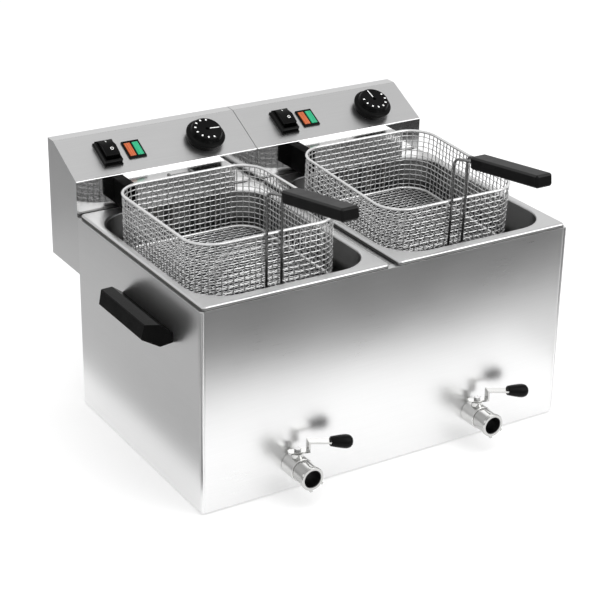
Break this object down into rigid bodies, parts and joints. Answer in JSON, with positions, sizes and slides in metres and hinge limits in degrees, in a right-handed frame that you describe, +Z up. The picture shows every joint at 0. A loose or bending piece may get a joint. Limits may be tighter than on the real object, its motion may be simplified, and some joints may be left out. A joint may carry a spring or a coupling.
{
  "type": "deep fryer",
  "caption": "Countertop deep fryer with side-by-side tanks, control heads, heating elements, lift-out wire baskets and front drain valves.",
  "frame": {"origin": "centre of the footprint's bounding box, on the bench", "axes": "+X to the right along the two tanks, -Y to the front with the drains, +Z up"},
  "size_m": [0.7516, 0.6607, 0.5058],
  "materials": {
    "casing_steel": "brushed stainless sheet",
    "head_steel": "bright stainless sheet",
    "tank_steel": "drawn stainless sheet",
    "nozzle_steel": "turned stainless steel",
    "valve_metal": "cast steel",
    "shaft_steel": "plain steel",
    "element_steel": "heat-darkened steel tube",
    "wire_chrome": "nickel-plated wire",
    "black_plastic": "moulded black, satin",
    "phenolic": "moulded phenolic",
    "rubber": "matt rubber",
    "lens_orange": "clear tinted",
    "lens_green": "clear tinted"
  },
  "bodies": {
    "fryer": {"cable_glands": "black_plastic", "casing_back": "casing_steel", "casing_base": "casing_steel", "casing_wrap": "casing_steel", "centre_rail": "casing_steel", "drain_pipe_left": "tank_steel", "drain_pipe_right": "tank_steel", "element_block_left": "black_plastic", "element_block_right": "black_plastic", "element_hood_left": "head_steel", "element_hood_right": "head_steel", "head_bottom_cover_left": "head_steel", "head_bottom_cover_right": "head_steel", "head_shell_left": "head_steel", "head_shell_right": "head_steel", "heating_element_left": "element_steel", "heating_element_right": "element_steel", "knob_base_left": "black_plastic", "knob_base_right": "black_plastic", "lamp_bezel_left": "black_plastic", "lamp_bezel_right": "black_plastic", "lamp_lens_green_left": "lens_green", "lamp_lens_green_right": "lens_green", "lamp_lens_orange_left": "lens_orange", "lamp_lens_orange_right": "lens_orange", "outlet_nozzle_left": "nozzle_steel", "outlet_nozzle_right": "nozzle_steel", "rubber_feet": "rubber", "side_handle_left": "black_plastic", "side_handle_right": "black_plastic", "switch_bezel_left": "black_plastic", "switch_bezel_right": "black_plastic", "tank_left": "tank_steel", "tank_right": "tank_steel", "terminal_blocks": "phenolic", "thermostat_left": "phenolic", "thermostat_right": "phenolic", "valve_body_left": "valve_metal", "valve_body_right": "valve_metal"},
    "switch_left": {"rocker_left": "black_plastic"},
    "dial_left": {"knob_left": "black_plastic", "dial_shaft_left": "shaft_steel"},
    "drain_valve_left": {"valve_plug_left": "valve_metal", "drain_lever_left": "nozzle_steel", "lever_screw_left": "nozzle_steel", "lever_grip_left": "black_plastic"},
    "basket_left": {"basket_frame_left": "wire_chrome", "basket_mesh_left": "wire_chrome", "basket_grip_left": "black_plastic"},
    "switch_right": {"rocker_right": "black_plastic"},
    "dial_right": {"knob_right": "black_plastic", "dial_shaft_right": "shaft_steel"},
    "drain_valve_right": {"valve_plug_right": "valve_metal", "drain_lever_right": "nozzle_steel", "lever_screw_right": "nozzle_steel", "lever_grip_right": "black_plastic"},
    "basket_right": {"basket_frame_right": "wire_chrome", "basket_mesh_right": "wire_chrome", "basket_grip_right": "black_plastic"}
  },
  "joints": [
    {"name": "rocker_left", "type": "hinge", "parent": "fryer", "child": "switch_left", "pos_m": [-0.255, 0.25181, 0.41707], "axis": [1, 0, 0], "range_deg": [0, 14]},
    {"name": "knob_left", "type": "hinge", "parent": "fryer", "child": "dial_left", "pos_m": [-0.08, 0.24732, 0.41926], "axis": [0, -0.4557, 0.8901], "range_deg": [-175, 95]},
    {"name": "drain_left", "type": "hinge", "parent": "fryer", "child": "drain_valve_left", "pos_m": [-0.1755, -0.21443, 0.049], "axis": [0, 0, 1], "range_deg": [-90, 0]},
    {"name": "basket_lift_left", "type": "slide", "parent": "fryer", "child": "basket_left", "axis": [0, 0, 1], "range_m": [0, 0.2]},
    {"name": "rocker_right", "type": "hinge", "parent": "fryer", "child": "switch_right", "pos_m": [0.0755, 0.25181, 0.41707], "axis": [1, 0, 0], "range_deg": [0, 14]},
    {"name": "knob_right", "type": "hinge", "parent": "fryer", "child": "dial_right", "pos_m": [0.2505, 0.24732, 0.41926], "axis": [0, -0.4557, 0.8901], "range_deg": [-270, 0]},
    {"name": "drain_right", "type": "hinge", "parent": "fryer", "child": "drain_valve_right", "pos_m": [0.1595, -0.21443, 0.049], "axis": [0, 0, 1], "range_deg": [-90, 0]},
    {"name": "basket_lift_right", "type": "slide", "parent": "fryer", "child": "basket_right", "axis": [0, 0, 1], "range_m": [0, 0.2]}
  ]
}
